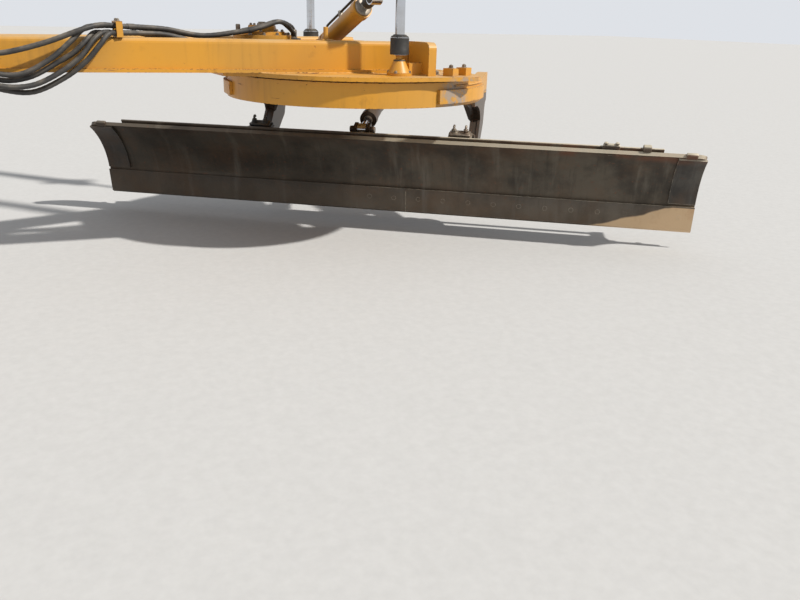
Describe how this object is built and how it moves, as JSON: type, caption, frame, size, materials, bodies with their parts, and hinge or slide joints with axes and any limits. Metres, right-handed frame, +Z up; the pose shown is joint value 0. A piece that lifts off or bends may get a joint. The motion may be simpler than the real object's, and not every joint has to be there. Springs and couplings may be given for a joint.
{
  "type": "motor grader blade assembly",
  "caption": "Grader blade group: towed drawbar with toothed circle, drive pinion, tipping and side-shifting curved moldboard, and lift, tip and shift cylinders.",
  "frame": {"origin": "centre of the drawbar's hitch ball", "axes": "+X from the hitch ball to the rear of the machine, +Y to the machine's right, +Z up"},
  "size_m": [4.0279, 2.516, 3.0772],
  "materials": {
    "yellow_paint": "worn yellow enamel with chips and dust",
    "worn_blade": "dark worn steel with rust and soil",
    "wear_steel": "scoured steel with rust",
    "bare_steel": "greasy bare steel",
    "chrome_rod": "polished hard chrome",
    "bronze": "wear bronze",
    "black_iron": "black enamel",
    "hose_rubber": "black hose"
  },
  "bodies": {
    "drawbar": {"hitch_ball": "bare_steel", "drawbar_nose": "yellow_paint", "drawbar_beam_left": "yellow_paint", "drawbar_beam_right": "yellow_paint", "drawbar_crossbeam": "yellow_paint", "deck_plate": "yellow_paint", "lift_bracket_left": "yellow_paint", "lift_bracket_right": "yellow_paint", "circle_shoes": "bare_steel", "centre_bracket": "yellow_paint", "drive_gearbox": "yellow_paint", "drive_motor": "black_iron", "hydraulic_swivel": "bare_steel", "hose_clamps": "yellow_paint", "front_hoses": "hose_rubber"},
    "pinion": {"drive_pinion": "bare_steel"},
    "circle": {"circle_arm_left": "yellow_paint", "circle_arm_right": "yellow_paint", "circle_ring": "yellow_paint", "tip_anchor": "yellow_paint"},
    "carrier": {"tilt_bracket_left": "yellow_paint", "tilt_bracket_right": "yellow_paint", "wear_strips": "bronze", "cross_tube": "yellow_paint", "tip_pins": "bare_steel", "slide_barrel": "yellow_paint"},
    "blade": {"moldboard": "worn_blade", "upper_rail": "worn_blade", "lower_rail": "worn_blade", "slide_lug": "worn_blade", "cutting_edge_left": "wear_steel", "cutting_edge_right": "wear_steel", "end_plate_left": "wear_steel", "end_plate_right": "wear_steel", "slide_rod": "chrome_rod"},
    "tip_cylinder_barrel": {"tip_barrel": "yellow_paint"},
    "tip_cylinder_rod": {"tip_rod": "chrome_rod"},
    "lift_rod_left": {"lift_rod_left": "chrome_rod"},
    "lift_barrel_left": {"lift_barrel_left": "yellow_paint"},
    "lift_rod_right": {"lift_rod_right": "chrome_rod"},
    "lift_barrel_right": {"lift_barrel_right": "yellow_paint"},
    "centre_cylinder_barrel": {"centre_barrel": "yellow_paint"},
    "centre_cylinder_rod": {"centre_rod": "chrome_rod"}
  },
  "joints": [
    {"name": "circle_turn", "type": "hinge", "parent": "drawbar", "child": "circle", "pos_m": [2.33, 0, -0.213], "axis": [0, 0, 1], "continuous": true},
    {"name": "pinion_turn", "type": "hinge", "parent": "drawbar", "child": "pinion", "pos_m": [1.79, 0, -0.213], "axis": [0, 0, 1], "continuous": true},
    {"name": "blade_tip", "type": "hinge", "parent": "circle", "child": "carrier", "pos_m": [2.47784, 0.17619, -0.63], "axis": [0.766, -0.6428, 0], "range_deg": [-29, 16]},
    {"name": "blade_side_shift", "type": "slide", "parent": "carrier", "child": "blade", "axis": [0.766, -0.6428, 0], "range_m": [-0.63, 0.5]},
    {"name": "tip_cylinder_swing", "type": "hinge", "parent": "circle", "child": "tip_cylinder_barrel", "pos_m": [2.75745, 0.50942, -0.293], "axis": [0.766, -0.6428, 0], "range_deg": [-5, 5]},
    {"name": "tip_cylinder_stroke", "type": "slide", "parent": "tip_cylinder_barrel", "child": "tip_cylinder_rod", "axis": [-0.6177, -0.7362, -0.2765], "range_m": [-0.102, 0.058]},
    {"name": "lift_swing_left", "type": "hinge", "parent": "drawbar", "child": "lift_rod_left", "pos_m": [2.3, -0.575, 0.056], "axis": [1, 0, 0], "range_deg": [-15, 15]},
    {"name": "lift_stroke_left", "type": "slide", "parent": "lift_rod_left", "child": "lift_barrel_left", "axis": [0, 0, 1], "range_m": [-0.45, 0.63]},
    {"name": "lift_swing_right", "type": "hinge", "parent": "drawbar", "child": "lift_rod_right", "pos_m": [2.3, 0.575, 0.056], "axis": [1, 0, 0], "range_deg": [-15, 15]},
    {"name": "lift_stroke_right", "type": "slide", "parent": "lift_rod_right", "child": "lift_barrel_right", "axis": [0, 0, 1], "range_m": [-0.45, 0.63]},
    {"name": "centre_shift_swing", "type": "hinge", "parent": "drawbar", "child": "centre_cylinder_barrel", "pos_m": [2.19, 0.14, 0.045], "axis": [1, 0, 0], "range_deg": [-12, 6]},
    {"name": "centre_shift_stroke", "type": "slide", "parent": "centre_cylinder_barrel", "child": "centre_cylinder_rod", "axis": [0, -0.9304, 0.3665], "range_m": [-0.02, 0.31]}
  ],
  "couplings": [
    {"joint": "pinion_turn", "follows": "circle_turn", "ratio": 6.4},
    {"joint": "tip_cylinder_swing", "follows": "blade_tip", "ratio": -0.09931},
    {"joint": "tip_cylinder_stroke", "follows": "blade_tip", "m_per_rad": 0.19594}
  ]
}
